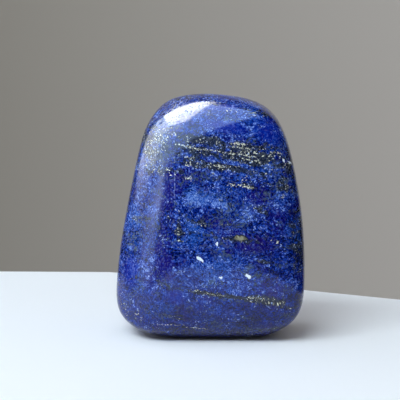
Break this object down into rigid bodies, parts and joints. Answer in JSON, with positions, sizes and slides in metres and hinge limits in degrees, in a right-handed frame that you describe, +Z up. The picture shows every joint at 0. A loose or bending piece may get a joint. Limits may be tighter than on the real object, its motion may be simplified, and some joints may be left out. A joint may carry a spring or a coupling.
{
  "type": "polished lapis lazuli freeform",
  "caption": "Polished freeform of deep blue rock with pyrite, an upright tumbled block that stands on a small flat spot as a shelf or desk ornament.",
  "frame": {"origin": "on the surface that the stone stands on, under the middle of its outline seen from above", "axes": "+Z up along the stone's height, -Y out of the broad front face, +X to the right seen from the front"},
  "size_m": [0.047, 0.0318, 0.0602],
  "materials": {
    "polished_lapis": "high polish; speckled deep blue with pyrite grains, pale calcite flecks and dark bands"
  },
  "bodies": {
    "root": {"lapis_stone": "polished_lapis"}
  },
  "joints": []
}
